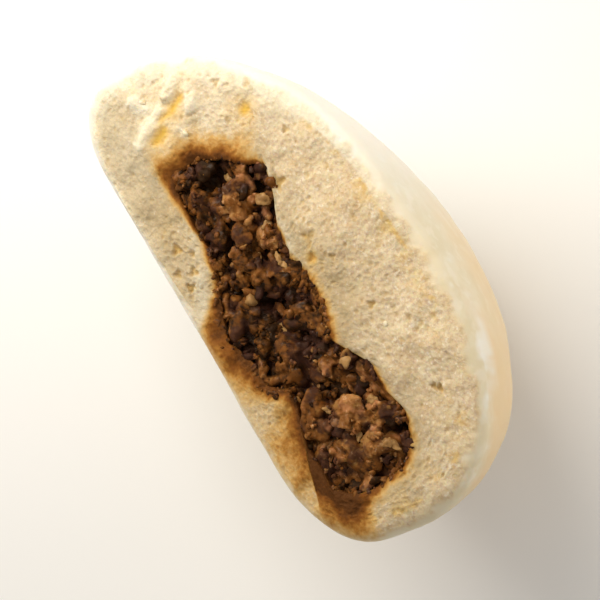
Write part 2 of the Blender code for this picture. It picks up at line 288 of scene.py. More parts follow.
class StageSettings(bpy.types.PropertyGroup):
    """The floor, the lights and the camera."""

    floor_colour: tint("Floor", "Plain pale floor", (0.90, 0.89, 0.87))
    key_power: measure("Key", "Main light, W", 1.08)
    fill_power: measure("Side", "Side light, W", 0.85)
    sky: measure("Sky", "Strength of the even light", 0.42)
    distance: measure("Distance", "Camera distance", 0.6, unit="LENGTH")
    lens: measure("Lens", "Camera lens, mm", 174.0)
    aim_right: measure("Aim right", "Sideways aim, mm", -4.4)
    aim_up: measure("Aim up", "Upward aim, mm", -4.4)


# ---------------------------------------------------------------- noise


def lattice_value(x, y, z, seed):
    """A repeatable random value between 0 and 1 for each whole-number place."""
    mask = np.int64(0x7FFFFFFF)
    value = (x * 73856093) ^ (y * 19349663) ^ (z * 83492791) ^ np.int64(seed * 2654435)
    value = (value & mask) * 1103515245 + 12345
    value = ((value >> 13) ^ value) & mask
    value = (value * 1274126177) & mask
    value = ((value >> 11) ^ value) & mask
    return value / float(mask)


def on_cut(x, y):
    """Places on the cut plane as points in space."""
    return np.column_stack((x, y, np.zeros(len(x))))


def wave(points, size, seed=0):
    """Smooth noise between -1 and 1 at each point.

    Each relief and mask has a seed of its own, so that no two of them line up.
    """
    scaled = points / size
    base = np.floor(scaled).astype(np.int64)
    part = scaled - base
    part = part * part * part * (part * (part * 6.0 - 15.0) + 10.0)
    total = np.zeros(len(points))
    for dx in (0, 1):
        for dy in (0, 1):
            for dz in (0, 1):
                weight = (
                    (part[:, 0] if dx else 1.0 - part[:, 0])
                    * (part[:, 1] if dy else 1.0 - part[:, 1])
                    * (part[:, 2] if dz else 1.0 - part[:, 2])
                )
                corner = lattice_value(base[:, 0] + dx, base[:, 1] + dy, base[:, 2] + dz, seed)
                total += weight * corner
    return total * 2.0 - 1.0


def layered_wave(points, size, layers=3, seed=0):
    """Several waves, each half the size and weight of the one before."""
    total = np.zeros(len(points))
    weight = 1.0
    for layer in range(layers):
        total += weight * wave(points, size / 2 ** layer, seed + layer)
        weight *= 0.5
    return total / (2.0 - 2.0 ** (1 - layers))


def cells(points, size, seed=0):
    """How far, in cells, the nearest and second centres are, the nearest's value and place."""
    scaled = points / size
    base = np.floor(scaled).astype(np.int64)
    near = np.full(len(points), 9.0)
    second = np.full(len(points), 9.0)
    value = np.zeros(len(points))
    offset = np.zeros((len(points), 3))
    for dx in (-1, 0, 1):
        for dy in (-1, 0, 1):
            for dz in (-1, 0, 1):
                x, y, z = base[:, 0] + dx, base[:, 1] + dy, base[:, 2] + dz
                spot = np.column_stack([
                    x + lattice_value(x, y, z, seed + 11),
                    y + lattice_value(x, y, z, seed + 23),
                    z + lattice_value(x, y, z, seed + 37),
                ])
                gap = scaled - spot
                away = np.linalg.norm(gap, axis=1)
                closer = away < near
                offset = np.where(closer[:, None], gap, offset)
                second = np.where(closer, near, np.minimum(second, away))
                value = np.where(closer, lattice_value(x, y, z, seed + 51), value)
                near = np.where(closer, away, near)
    return near, second, value, offset


def tilted_blocks(points, size, seed):
    """Broken blocks of that size: each with its own height and slope, and a crease around it."""
    near, second, value, offset = cells(points, size, seed)
    turn = value * 97.0
    slope = np.cos(turn) * offset[:, 0] + np.sin(turn) * offset[:, 1]
    crease = 1.0 - ease(second - near, 0.0, 0.32)
    return (value - 0.5) + 0.9 * slope - 0.45 * crease, crease, value


def ease(value, low, high):
    """0 below low, 1 above high, smooth between."""
    share = np.clip((value - low) / (high - low), 0.0, 1.0)
    return share * share * (3.0 - 2.0 * share)


# ---------------------------------------------------------------- the bun's form


def smooth_max(first, second, blend):
    """The larger of two distances, with the corner between them rounded."""
    near = np.maximum(blend - np.abs(first - second), 0.0) / blend
    return np.maximum(first, second) + near * near * blend * 0.25


def skin_field(points, dough):
    """Below zero inside the whole bun."""
    height = -points[:, 1]
    x = points[:, 0] + dough.lean * (height - dough.widest_level)
    z = points[:, 2]
    upper = dough.height - dough.widest_level
    reach = np.where(height > dough.widest_level, upper, dough.under_depth)
    level = np.abs(height - dough.widest_level) / reach
    across = np.hypot(x, z) / dough.radius
    power = dough.dome_power
    ratio = np.maximum((across ** power + level ** power) ** (1.0 / power), 1e-9)
    away = np.sqrt(x * x + z * z + (height - dough.widest_level) ** 2)
    return smooth_max(away - away / ratio, -height, dough.base_round)


def half_field(points, dough):
    """Below zero inside the half behind the cut."""
    return smooth_max(skin_field(points, dough), points[:, 2] - dough.cut_offset, dough.rim_round)


def push_out(directions, centre, outside):
    """Where rays from the centre first get outside."""
    low = np.zeros(len(directions))
    high = np.full(len(directions), FAR)
    for _ in range(PUSH_STEPS):
        middle = 0.5 * (low + high)
        out = outside(centre + directions * middle[:, None])
        low = np.where(out, low, middle)
        high = np.where(out, middle, high)
    return 0.5 * (low + high)


def end_taper(x, power):
    """Width left toward the filling's ends."""
    share = np.abs((x - FILLING_MIDDLE) / FILLING_HALF_LENGTH)
    return np.maximum(0.0, 1.0 - np.minimum(share, 1.0) ** power) ** (1.0 / power)


def filling_share(x, y):
    """0 on the filling's middle line, 1 on its outline."""
    middle = np.interp(x, FILLING_STATIONS[:, 0], FILLING_STATIONS[:, 1])
    width = np.interp(x, FILLING_STATIONS[:, 0], FILLING_STATIONS[:, 2])
    return np.abs(y + middle) / np.maximum(width * end_taper(x, END_POWER), 1e-6)


def filling_floor(x, y):
    """How deep the filling reaches under its top, at one place inside its outline."""
    share = np.minimum(filling_share(x, y), 1.0)
    round_off = (1.0 - share ** BOTTOM_POWER) ** (1.0 / BOTTOM_POWER)
    return FILLING_DEPTH * end_taper(x, BOTTOM_POWER) * round_off


def filling_reach(turn):
    """Distance from the bun's centre line to the filling's outline, for each direction."""
    flat = on_cut(np.cos(turn), np.sin(turn))
    return push_out(flat, BUN_CENTRE, lambda p: filling_share(p[:, 0], p[:, 1]) > 1.0)


def rim_reach(turn, dough):
    """Distance from the bun's centre line to where the skin meets the cut plane."""
    level = np.array((BUN_CENTRE[0], BUN_CENTRE[1], dough.cut_offset))
    flat = on_cut(np.cos(turn), np.sin(turn))
    return push_out(flat, level, lambda p: skin_field(p, dough) > 0.0)


def even_turns(count, dough):
    """Directions around the cut face whose ends lie evenly spaced along its rim."""
    fine = np.linspace(-math.pi, math.pi, 4001)
    reach = rim_reach(fine, dough)
    rim = np.column_stack((reach * np.cos(fine), reach * np.sin(fine)))
    steps = np.linalg.norm(np.diff(rim, axis=0), axis=1)
    length = np.concatenate(((0.0,), np.cumsum(steps)))
    wanted = np.arange(count) * length[-1] / count
    return np.interp(wanted, length, fine)


def lay_down(points):
    """From millimetres lying flat to metres in the resting pose."""
    turned = np.array(Matrix.Rotation(-REST_TILT, 3, "X")) @ (points.T * 0.001)
    placed = turned.T + np.array(REST_SHIFT)
    placed[:, 2] = np.maximum(placed[:, 2], 0.0)
    return placed


def along_strokes(x, y, strokes, width):
    """1 on the strokes' lines, fading out over their width."""
    away = np.full(len(x), FAR)
    for stroke in strokes:
        for (start_x, start_h), (end_x, end_h) in zip(stroke, stroke[1:]):
            run_x, run_y = end_x - start_x, start_h - end_h
            gap_x, gap_y = x - start_x, y + start_h
            share = (gap_x * run_x + gap_y * run_y) / (run_x * run_x + run_y * run_y)
            share = np.clip(share, 0.0, 1.0)
            away = np.minimum(away, np.hypot(gap_x - share * run_x, gap_y - share * run_y))
    flat = on_cut(x, y)
    away = away + 0.45 * width * layered_wave(flat, 2.2, 3, 111)
    return np.exp(-(np.maximum(away, 0.0) / width) ** 2)


def spots_at(x, y, spots):
    """Strength of a list of round spots at each place."""
    return sum(
        strength * np.exp(-((x - place) ** 2 + (y + height) ** 2) / spread)
        for place, height, spread, strength in spots
    )


def pits_at(x, y, pits, soft=0.35):
    """Depth of a list of round pits at each place."""
    depth = np.zeros(len(x))
    for place, height, radius, deep in pits:
        away = np.hypot(x - place, y + height)
        away = away + 0.25 * radius * np.sin(3.0 * np.arctan2(y + height, x - place) + place)
        depth = np.maximum(depth, deep * (1.0 - ease(away, soft * radius, 1.15 * radius)))
    return depth


# ---------------------------------------------------------------- meshes


def ring_mesh(name, table, attributes):
    """A closed skin from rings of points: rings run from one pole to the other.

    table is rings x segments x 3, its first and last ring being the poles.
    """
    rings, segments = table.shape[0] - 1, table.shape[1]
    mesh_data = bmesh.new()
    bmesh.ops.create_grid(mesh_data, x_segments=segments, y_segments=rings, size=1.0)
    layers = {key: mesh_data.verts.layers.float.new(key) for key in attributes}
    placed = lay_down(table.reshape(-1, 3)).reshape(table.shape)
    seam = []
    for vertex in mesh_data.verts:
        column = round((vertex.co.x + 1.0) * 0.5 * segments)
        ring = round((1.0 - vertex.co.y) * 0.5 * rings)
        pole = ring in (0, rings)
        segment = 0 if pole else column % segments
        vertex.co = placed[ring, segment]
        for key, layer in layers.items():
            vertex[layer] = attributes[key][ring, segment]
        if pole or column in (0, segments):
            seam.append(vertex)
    bmesh.ops.remove_doubles(mesh_data, verts=seam, dist=1e-7)
    mesh = bpy.data.meshes.new(name)
    mesh_data.to_mesh(mesh)
    mesh_data.free()
    mesh.update()
    return finish_piece(name, mesh)


def finish_piece(name, mesh):
    """Smooth-shade a mesh and put it in the scene."""
    mesh.shade_smooth()
    piece = bpy.data.objects.new(name, mesh)
    bpy.context.scene.collection.objects.link(piece)
    return piece


def fresh_start(name):
    """Remove an earlier piece of that name, so an operator can run again."""
    old = bpy.data.objects.get(name)
    if old is not None:
        bpy.data.objects.remove(old)


# ---------------------------------------------------------------- shader wiring


EVEN = (1.0, 1.0, 1.0)


class Wire:
    """A shader socket that Python's operators can do maths on."""

    def __init__(self, shade, socket):
        self.shade = shade
        self.socket = socket

    def math(self, operation, first, second):
        return self.shade.add(
            "ShaderNodeMath", {"operation": operation}, {0: first, 1: second}
        )

    def __add__(self, other):
        return self.math("ADD", self, other)

    __radd__ = __add__

    def __sub__(self, other):
        return self.math("SUBTRACT", self, other)

    def __rsub__(self, other):
        return self.math("SUBTRACT", other, self)

    def __mul__(self, other):
        return self.math("MULTIPLY", self, other)

    __rmul__ = __mul__


class Shade:
    """One material under construction."""

    def __init__(self, name):
        self.material = bpy.data.materials.new(name)
        self.material.use_nodes = True
        self.tree = self.material.node_tree
        self.shader = self.tree.nodes["Principled BSDF"]

    def add(self, kind, settings=None, values=None, out=0):
        """A node of that kind: its settings first, then its sockets' values or links."""
        node = self.tree.nodes.new(kind)
        for key, value in (settings or {}).items():
            setattr(node, key, value)
        for key, value in (values or {}).items():
            self.feed(node.inputs[key], value)
        return Wire(self, node.outputs[out])

    def feed(self, socket, value):
        """Link a wire to a socket, or set a plain value on it."""
        if isinstance(value, Wire):
            self.tree.links.new(value.socket, socket)
        else:
            socket.default_value = value

    def place(self, stretch=EVEN):
        """The piece's own coordinates, in metres."""
        spot = self.add("ShaderNodeTexCoord", out="Object")
        return self.add("ShaderNodeMapping", values={"Vector": spot, "Scale": stretch})

    def carried(self, name):
        """A value stored on the mesh."""
        return self.add("ShaderNodeAttribute", {"attribute_name": name}, out="Fac")

    def noise(self, size, detail=3.0, roughness=0.55, stretch=EVEN):
        """Noise whose blobs are about that many millimetres."""
        return self.add(
            "ShaderNodeTexNoise",
            values={
                "Vector": self.place(stretch),
                "Scale": 1000.0 / size,
                "Detail": detail,
                "Roughness": roughness,
            },
            out="Fac",
        )

    def step(self, value, low, high):
        """0 below low, 1 above high, smooth between."""
        return self.add(
            "ShaderNodeMapRange",
            {"interpolation_type": "SMOOTHSTEP"},
            {"Value": value, "From Min": low, "From Max": high},
        )

    def blend(self, factor, first, second):
        """Mix two colours."""
        return self.add(
            "ShaderNodeMix",
            {"data_type": "RGBA"},
            {0: factor, 6: first, 7: second},
            out=2,
        )

    def bump(self, height, depth_mm, strength=1.0, under=None):
        """A bump from a height between 0 and 1."""
        values = {"Height": height, "Distance": depth_mm * 0.001, "Strength": strength}
        if under is not None:
            values["Normal"] = under
        return self.add("ShaderNodeBump", values=values)

    def set(self, **values):
        """Set the shader's own sockets, named with underscores for spaces."""
        for key, value in values.items():
            self.feed(self.shader.inputs[key.replace("_", " ")], value)
        return self.material


# what each place of the dough carries, from 0 to 1
MASKS = ("crumb", "juice", "pale_and_lit", "hollow", "shade_and_damp", "amber")
# specks in the open crumb: size, layers, roughness, stretch, from, to, weight, colour
CRUMB_SPECKS = (
    # pale specks: painted glints on the crumb's tiny nodules
    (0.9, 2.0, 0.55, EVEN, 0.56, 0.70, 0.75, (0.90, 0.80, 0.63, 1.0)),
    (1.25, 2.0, 0.55, EVEN, 0.56, 0.72, 0.38, (0.56, 0.36, 0.17, 1.0)),
    (1.0, 3.0, 0.6, (1.0, 1.2, 0.8), 0.52, 0.64, 0.52, (0.58, 0.40, 0.29, 1.0)),
    (1.4, 3.0, 0.6, (1.3, 0.9, 1.1), 0.53, 0.66, 0.36, (0.76, 0.67, 0.36, 1.0)),
)
PORE_SHADE = (0.55, 0.355, 0.115, 1.0)
TORN_YELLOW = (0.72, 0.43, 0.05, 1.0)
SKIN_BLOTCH = (0.86, 0.77, 0.62, 1.0)
# pale skin; it also paints light on the skin toward the upper end
SKIN_PALE_AND_LIT = (0.86, 0.82, 0.73, 1.0)
DAMP_GOLD = (0.62, 0.385, 0.125, 1.0)
SOAKED_RED = (0.19, 0.057, 0.007, 1.0)
CREAM_SPREAD = (1.0, 0.66, 0.36)   # how far red, green and blue light spreads in dough


def dough_material(dough):
    """Crumb, skin and juice-soaked dough in one material."""
    shade = Shade("steamed_dough")
    crumb, juice, pale_and_lit, hollow, shade_and_damp, amber = (shade.carried(name) for name in MASKS)

    mottle = shade.step(shade.noise(1.9, 4.0, 0.62), 0.38, 0.66)
    patch = shade.step(shade.noise(9.0, 3.0, 0.55), 0.38, 0.66)
    fleck = shade.step(shade.noise(0.75, 2.0, 0.6), 0.46, 0.72)
    tan_share = mottle * 0.48 + patch * 0.20 + fleck * 0.36
    inner = shade.blend(tan_share, tuple(dough.crumb_light), tuple(dough.crumb_tan))
    for size, layers, roughness, stretch, low, high, weight, speck in CRUMB_SPECKS:
        share = shade.step(shade.noise(size, layers, roughness, stretch), low, high)
        inner = shade.blend(share * weight, inner, speck)
    # painted shade and damp: the crumb turns darker and greyer near the filling
    inner = shade.blend(shade_and_damp * (0.92 - mottle * 0.4), inner, tuple(dough.crumb_shade_and_damp))
    # pale dough beside the filling and on the ridges, with painted light toward the upper end
    inner = shade.blend(pale_and_lit * 0.85, inner, tuple(dough.pale_crumb_and_light))
    inner = shade.blend(hollow * 0.85, inner, PORE_SHADE)
    inner = shade.blend(amber * 0.9, inner, TORN_YELLOW)

    cloud = shade.step(shade.noise(5.0, 3.0, 0.55), 0.42, 0.62)
    blotch = shade.step(shade.noise(3.4, 2.0, 0.5), 0.56, 0.68)
    outer = shade.blend(cloud * 0.55, tuple(dough.skin), tuple(dough.skin_deep))
    outer = shade.blend(amber * 0.8, outer, tuple(dough.amber))
    outer = shade.blend(blotch * (0.4 - amber * 0.35), outer, SKIN_BLOTCH)
    # painted light on the upper skin, with pale milky patches
    outer = shade.blend(pale_and_lit * 0.9, outer, SKIN_PALE_AND_LIT)
    colour = shade.blend(crumb, outer, inner)

    soak = shade.noise(3.0, 4.0, 0.65)
    grainy = shade.noise(1.1, 3.0, 0.6)
    level = juice + (soak - 0.5) * 0.5
    covers = []
    for grain, low, high, weight, stain in (
        (0.35, 0.06, 0.55, 0.88, DAMP_GOLD),
        (0.4, 0.34, 0.78, 0.9, tuple(dough.juice)),
        (0.5, 0.60, 0.98, 0.9, SOAKED_RED),
        (0.6, 0.92, 1.25, 0.9, tuple(dough.juice_dark)),
    ):
        cover = shade.step(level + (grainy - 0.5) * grain, low, high)
        colour = shade.blend(cover * weight, colour, stain)
        covers.append(cover)
    wet, brown = covers[:2]

    pores = shade.add(
        "ShaderNodeTexVoronoi",
        {"feature": "SMOOTH_F1"},
        {"Vector": shade.place(), "Scale": 1000.0, "Smoothness": 0.35},
        out="Distance",
    )
    fluff = shade.noise(0.45, 3.0, 0.65)
    crumb_relief = (pores * 0.6 + fluff * 0.6) * crumb * (1.0 - wet * 0.35)
    skin_relief = shade.noise(1.6, 3.0, 0.5) * (1.0 - crumb)
    normal = shade.bump(skin_relief, 0.12, 0.5)
    normal = shade.bump(crumb_relief, 0.40, 0.85, normal)
    shade.shader.subsurface_method = "RANDOM_WALK"
    return shade.set(
        Base_Color=colour,
        Roughness=0.42 + crumb * 0.34 - brown * 0.12,
        Normal=normal,
        Subsurface_Weight=0.3,
        Subsurface_Radius=CREAM_SPREAD,
        Subsurface_Scale=0.0018,
        Specular_IOR_Level=0.14,
        Specular_Tint=(1.0, 0.86, 0.62, 1.0),
    )


# near-black patches: dark mince together with painted shade of the hollows
MINCE_DARK_AND_SHADE = (0.048, 0.017, 0.011, 1.0)
MINCE_PINK = (0.42, 0.17, 0.07, 1.0)
MINCE_OLIVE = (0.38, 0.195, 0.050, 1.0)
# painted glints on the mince
MINCE_GLINT = (0.68, 0.42, 0.22, 1.0)


def beef_material(name, filling):
    """Moist cooked mince: painted shade in the hollows and creases, tan on the clumps."""
    shade = Shade(name)
    tone = shade.carried("tone")
    # deep is painted shade: darker low on each chunk, in creases and in the filling's hollows
    deep = shade.carried("deep")
    mottle = shade.noise(1.5, 4.0, 0.62)
    speck = shade.step(shade.noise(0.8, 2.0, 0.6), 0.58, 0.76)
    level = tone + (mottle - 0.5) - deep * 0.42 - 0.07
    colour = shade.blend(shade.step(level, -0.05, 0.45), tuple(filling.dark_and_shade), tuple(filling.brown))
    colour = shade.blend(shade.step(level, 0.40, 1.0), colour, tuple(filling.tan))
    # dark mince together with painted shade of the hollows
    dark_and_shade_patch = shade.step(shade.noise(4.6, 3.0, 0.5), 0.49, 0.60)
    colour = shade.blend(dark_and_shade_patch * 0.8, colour, MINCE_DARK_AND_SHADE)
    pink = shade.step(shade.noise(3.6, 2.0, 0.5, (1.0, 1.2, 1.1)), 0.53, 0.64)
    colour = shade.blend(pink * shade.step(level, 0.25, 0.75) * 0.6, colour, MINCE_PINK)
    olive = shade.step(shade.noise(3.1, 2.0, 0.5, (1.3, 1.0, 1.0)), 0.55, 0.68)
    colour = shade.blend(olive * shade.step(level, 0.2, 0.7) * 0.55, colour, MINCE_OLIVE)
    # painted glints: pale specks only on the clumps' paler, unshaded places
    pale = speck * shade.step(level, 0.35, 0.9) * 0.8
    colour = shade.blend(pale, colour, MINCE_GLINT)
    fine = shade.noise(0.5, 4.0, 0.7)
    fibre = shade.noise(1.0, 3.0, 0.6, (1.0, 2.6, 1.6))
    normal = shade.bump(fibre, 0.28, 0.5)
    normal = shade.bump(fine, 0.18, 0.6, normal)
    return shade.set(
        Base_Color=colour,
        Roughness=0.36 + shade.noise(2.2, 2.0) * 0.36,
        Normal=normal,
        Specular_IOR_Level=0.17,
        Specular_Tint=(1.0, 0.72, 0.48, 1.0),
        Coat_Weight=shade.step(shade.noise(2.4, 2.0), 0.48, 0.64) * 0.18,
        Coat_Roughness=0.15,
        Subsurface_Weight=0.22,
        Subsurface_Radius=(1.0, 0.42, 0.18),
        Subsurface_Scale=0.0012,
    )


ONION_STAIN = (0.235, 0.115, 0.035, 1.0)


def onion_material(filling):
    """Soft clear onion, stained by the sauce."""
    shade = Shade("onion")
    pale = shade.carried("tone")
    stain = shade.step(shade.noise(1.6, 3.0) + (0.5 - pale) * 0.5, 0.36, 0.66)
    colour = shade.blend(stain * 0.9, tuple(filling.onion), ONION_STAIN)
    return shade.set(
        Base_Color=colour,
        Roughness=0.2 + stain * 0.2,
        Normal=shade.bump(shade.noise(0.8, 2.0), 0.12, 0.5),
        Subsurface_Weight=0.25,
        Subsurface_Radius=(1.0, 0.7, 0.35),
        Subsurface_Scale=0.0012,
        Specular_IOR_Level=0.2,
        Specular_Tint=(1.0, 0.85, 0.65, 1.0),
    )


SHRED_WHITE = (0.88, 0.78, 0.60, 1.0)
# painted shade in the shreds' creases and low sides
SHRED_PAINTED_SHADE = (0.66, 0.46, 0.20, 1.0)


def shred_material(dough):
    """Loose shreds of steamed dough."""
    shade = Shade("dough_shreds")
    deep = shade.carried("deep")
    mottle = shade.noise(1.2, 3.0)
    colour = shade.blend(mottle, SHRED_WHITE, tuple(dough.crumb_light))
    # painted shade: darker low on each shred and in its creases
    colour = shade.blend(deep * 0.8, colour, SHRED_PAINTED_SHADE)
    return shade.set(
        Base_Color=colour,
        Roughness=0.55 + mottle * 0.2,
        Normal=shade.bump(shade.noise(0.4, 3.0), 0.12, 0.5),
        Subsurface_Weight=0.3,
        Subsurface_Radius=CREAM_SPREAD,
        Subsurface_Scale=0.001,
    )


# ---------------------------------------------------------------- pieces


# rings of faces on the dough, from the cavity's floor to the middle of the back, and the core's
FLOOR_RINGS = 8
WALL_RINGS = 6
FACE_RINGS = 86
RIM_RINGS = 14
BACK_RINGS = 28
CORE_SEGMENTS = 520
CORE_TOP_RINGS = 70
CORE_SIDE_RINGS = 26
WALL_ROOM = 0.35                   # room between the filling and the cavity's wall, mm
EDGE_SPREAD = 0.42                 # the core presses this far into the wall, mm
RAY_SLANT = 0.85                   # a ray from the bun's middle leaves the filling at a slant
FULL_JUICE = 1.3                   # the juice mask where dough is soaked through
CLUMP_TRIES = 9000                 # places tried for the medium clumps
EDGE_CHUNKS = 120
LIP_GRAINS = 150
FACETS = 9                         # broken faces on a chunk
FACET_EDGE = 7.0                   # how sharp their edges are
ROUND_PART = 0.62                  # and how much of the round chunk shows between them
FUSE_GRAIN = 0.00029               # size of the fused skin's faces, m


def crumb_height(x, y, dough):
    """Relief of the cut face, with the masks of its holes, white flaps and yellow tears."""
    flat = on_cut(x, y)
    slow = CRUMB_WAVE[0] * wave(flat, CRUMB_WAVE[1], 5)
    crag = CRUMB_CRAG[0] * wave(flat, CRUMB_CRAG[1], 9)
    tuft = 0.30 * layered_wave(flat, 2.4, 3, 17)
    warp = 0.45 * on_cut(wave(flat, 1.7, 19), wave(flat, 1.7, 21))
    near, second, value, _ = cells(flat + warp, 1.35, 3)
    pore = dough.pore_depth * (1.0 - ease(near, 0.08, 0.55)) * ease(value, 0.25, 0.85)
    web = 0.11 * ease(second - near, 0.0, 0.35)
    pits = pits_at(x, y, CRUMB_PITS)
    ridge = along_strokes(x, y, TEAR_RIDGES, 1.5) * (0.7 + 0.6 * layered_wave(flat, 2.4, 3, 113))
    hollow = along_strokes(x, y, TEAR_HOLLOWS, 1.6)
    lift = slow + crag + tuft - pore - web - pits + 0.9 * ridge - 0.5 * hollow
    holes = np.clip(0.5 * pore / dough.pore_depth + 1.3 * pits, 0.0, 1.0)
    pale = along_strokes(x, y, TEAR_RIDGES, 2.0)
    warm = 0.45 * along_strokes(x, y, TEAR_HOLLOWS, 3.0)
    flap = np.exp(-(((x - FLAP[0]) / FLAP[2]) ** 2 + ((y + FLAP[1]) / FLAP[3]) ** 2))
    flap = flap * (0.8 + 0.5 * wave(flat, 1.1, 119))
    orange = spots_at(x, y, ORANGE_SPOTS)
    return lift + 0.5 * flap, {
        "hollow": holes,
        "pale_and_lit": np.clip(0.7 * ridge + 0.7 * pale + 1.3 * flap, 0.0, 1.0),
        "amber": np.clip(np.maximum(hollow, warm) * (1.0 - ridge) + orange, 0.0, 1.0),
    }


def base_wall_at(turns):
    """1 where the cavity's wall looks to the bun's base, 0 elsewhere."""
    return ease(np.sin(turns), 0.1, 0.8)


def lip_drop(beyond, base_wall):
    """How far the soaked lip dips, that far outside the cavity's mouth, mm."""
    return (0.7 + 0.4 * base_wall) * np.exp(-beyond / (1.0 + 0.9 * base_wall))


def soak_masks(x, y, away):
    """Where the filling's juice has soaked the cut face, where dough is pale with painted light
    toward the upper end, and where it is damp and painted in shade.

    x runs along the cut and y toward the base, so each ease() is a stretch of the cut face;
    away is the way to the filling. All are millimetres.
    """
    rag = layered_wave(on_cut(x, y), 4.0, 3, 61)
    base_side = ease(y, -17.0, -11.0)
    lower = 1.0 - ease(x, -14.0, 6.0)
    top_end = ease(x, 23.0, 29.0)
    near = np.maximum(away, 0.0)
    width = 1.05 + 0.4 * lower + 1.7 * top_end
    width = width + base_side * (np.interp(x, *zip(*BASE_SOAK)) - width)
    start = base_side * np.interp(x, *zip(*BASE_BAND))
    edge = np.exp(-(np.maximum(away - start + 0.7 * rag * width, 0.0) / (1.25 * width)) ** 1.5)
    wash = 0.27 + 0.08 * (1.0 - ease(x, -50.0, -26.0)) + 0.14 * (1.0 - ease(x, -28.0, -22.0))
    wash = base_side * lower * wash * (0.9 + 0.7 * rag)
    top_wash = 0.36 * top_end * np.exp(-(near / 5.2) ** 2) * (1.0 + 0.5 * rag)
    juice = np.clip(edge + wash + top_wash + spots_at(x, y, JUICE_SPOTS), 0.0, FULL_JUICE)
    far_side = 1.0 - base_side
    waist = base_side * ease(x, -16.0, -8.0) + far_side * ease(x, 1.0, 7.0)
    waist = waist * (1.0 - ease(x, 17.0, 24.0))
    strip = np.exp(-((away - 1.9 - 2.5 * base_side) / 2.1) ** 2)
    # the strip beside the filling is pale dough; the last term is painted light, paler crumb
    # toward the upper end
    pale_and_lit = strip * waist * (0.42 + 0.5 * rag) + 0.28 * ease(x, 24.0, 38.0) * (1.0 + 0.5 * rag)
    pale_and_lit = np.clip(pale_and_lit, 0.0, 1.0)
    # darker crumb near the filling and along the base side: painted shade of the recess together
    # with damp dough
    shade_and_damp = np.exp(-np.maximum(away - 1.0, 0.0) / 7.0) * (0.9 + 0.3 * ease(x, -20.0, -6.0))
    shade_and_damp = shade_and_damp * (1.0 - 0.6 * ease(x, 18.0, 30.0)) + 0.5 * np.exp(-(near / 2.6) ** 2)
    far_shade_and_damp = far_side * ease(x, -26.0, -18.0) * (1.0 - ease(x, 3.0, 9.0))
    shade_and_damp = shade_and_damp + 0.75 * far_shade_and_damp * np.exp(-(near / 3.8) ** 2)
    shade_and_damp = np.clip(np.maximum(shade_and_damp, 1.05 * base_side * (1.0 - lower)) * (1.0 + 0.5 * rag), 0.0, 1.0)
    return {"juice": juice, "pale_and_lit": pale_and_lit, "shade_and_damp": shade_and_damp}


